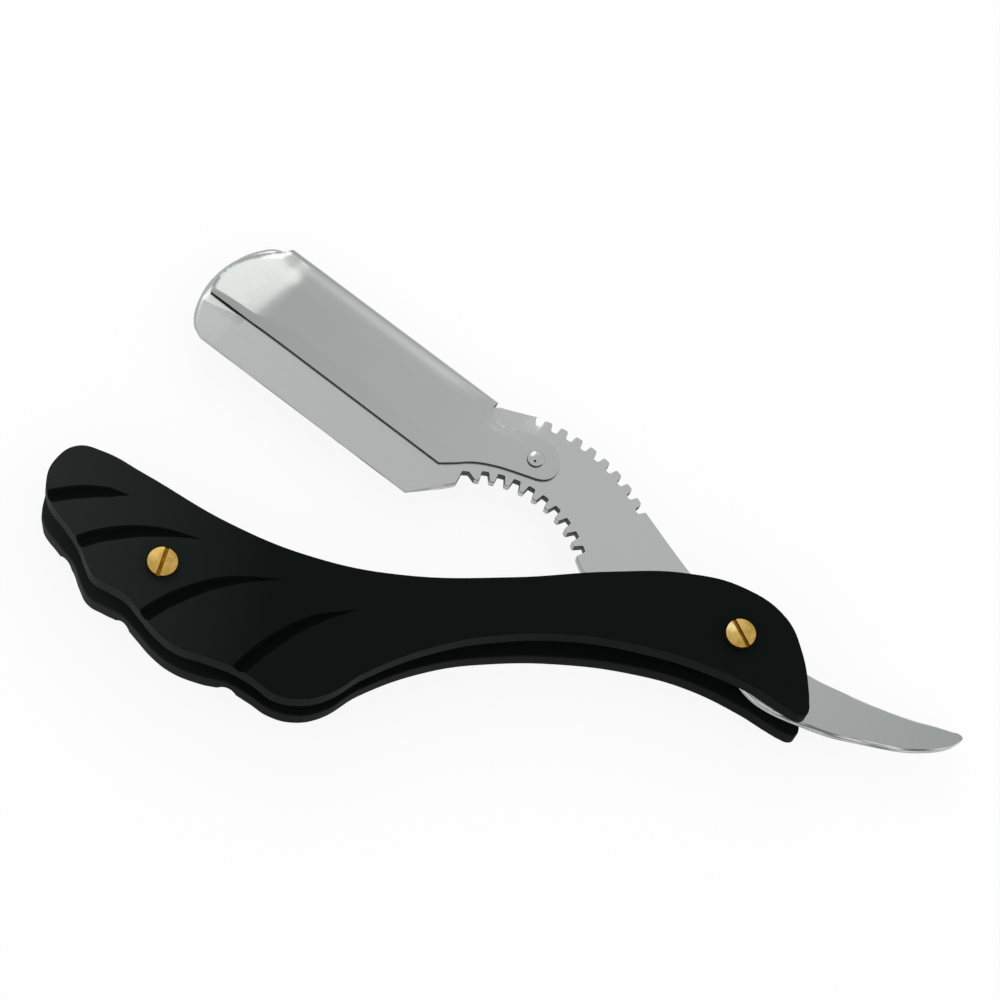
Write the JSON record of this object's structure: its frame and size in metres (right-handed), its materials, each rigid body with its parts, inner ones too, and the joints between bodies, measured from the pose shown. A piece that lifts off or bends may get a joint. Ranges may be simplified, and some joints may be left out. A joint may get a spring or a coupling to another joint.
{
  "type": "shaving razor",
  "caption": "Folding barber's razor with carved black scales, a toothed steel body and a swinging cover over a half-blade seat.",
  "frame": {"origin": "pivot axis on the back scale's outer face, at the flush head of the pivot post", "axes": "+X from the wing end of the scales to the tail end, +Y to the scales' upper edge, +Z out of the front scale's face"},
  "size_m": [0.1695, 0.0907, 0.015],
  "materials": {
    "scale_black": "satin black, lightly brushed",
    "steel": "fine satin stainless",
    "cover_steel": "polished stainless sheet",
    "brass": "turned brass"
  },
  "bodies": {
    "scales": {"front_scale": "scale_black", "back_scale": "scale_black", "pivot_screw": "brass", "pivot_post": "brass", "pivot_washer_front": "steel", "pivot_washer_back": "steel", "wing_screw": "brass", "wing_post": "brass", "wing_spacer": "steel"},
    "razor": {"razor_body": "steel", "cover_rivet": "cover_steel", "blade_pin_toe": "steel", "blade_pin_heel": "steel"},
    "cover": {"swing_cover": "cover_steel"}
  },
  "joints": [
    {"name": "razor_pivot", "type": "hinge", "parent": "scales", "child": "razor", "pos_m": [0, 0, 0], "axis": [0, 0, -1], "range_deg": [-21.5, 300]},
    {"name": "cover_swing", "type": "hinge", "parent": "razor", "child": "cover", "pos_m": [-0.0388, 0.03172, 0], "axis": [0, 0, -1], "range_deg": [0, 110]}
  ]
}
